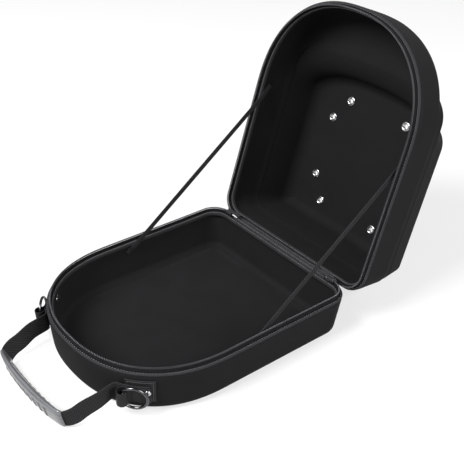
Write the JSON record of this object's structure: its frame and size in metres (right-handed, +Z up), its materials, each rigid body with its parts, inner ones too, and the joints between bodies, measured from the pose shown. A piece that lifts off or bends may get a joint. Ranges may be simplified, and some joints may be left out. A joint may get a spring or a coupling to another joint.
{
  "type": "hat travel case",
  "caption": "Open semi-hard travel case for caps: arched tray and deep lid joined by a fabric hinge, with zip, stay straps, vent eyelets, ring tabs and a padded-grip carrying strap.",
  "frame": {"origin": "centre of the tray's flat underside, on the surface that the case stands on", "axes": "+X along the hinge, -Y towards the carrying handle and +Y towards the hinge, +Z up"},
  "size_m": [0.3224, 0.6594, 0.4437],
  "materials": {
    "shell_fabric": "matt knit laminated on moulded foam",
    "rim_trim": "matt woven tape and piping",
    "zip_coil": "satin nylon coil",
    "webbing": "ribbed woven webbing",
    "tab_leather": "fine grained artificial leather",
    "nickel": "bright nickel plate",
    "ring_metal": "dark plated, glossy",
    "grip_plastic": "moulded, semi gloss",
    "slider_metal": "black enamel, satin"
  },
  "bodies": {
    "root": {"tray_shell": "shell_fabric", "tray_piping": "rim_trim", "tray_binding": "rim_trim", "tray_zip_tape": "rim_trim", "tray_zip_coil": "zip_coil", "lid_shell": "shell_fabric", "lid_piping": "rim_trim", "lid_binding": "rim_trim", "lid_zip_tape": "rim_trim", "lid_zip_coil": "zip_coil", "hinge_strip": "rim_trim", "patch_right": "tab_leather", "patch_left": "tab_leather", "ring_loop_right": "tab_leather", "ring_loop_left": "tab_leather", "ring_right": "ring_metal", "ring_left": "ring_metal", "rivet_right": "nickel", "rivet_left": "nickel", "handle_webbing": "webbing", "handle_grip": "grip_plastic", "eyelet_top_right": "nickel", "eyelet_top_left": "nickel", "eyelet_upper_right": "nickel", "eyelet_upper_left": "nickel", "eyelet_lower_right": "nickel", "eyelet_lower_left": "nickel", "eyelet_bottom_right": "nickel", "eyelet_bottom_left": "nickel", "stay_right": "webbing", "stay_left": "webbing", "slider_right": "slider_metal", "slider_left": "slider_metal", "pull_right": "slider_metal", "pull_left": "slider_metal"}
  },
  "joints": []
}
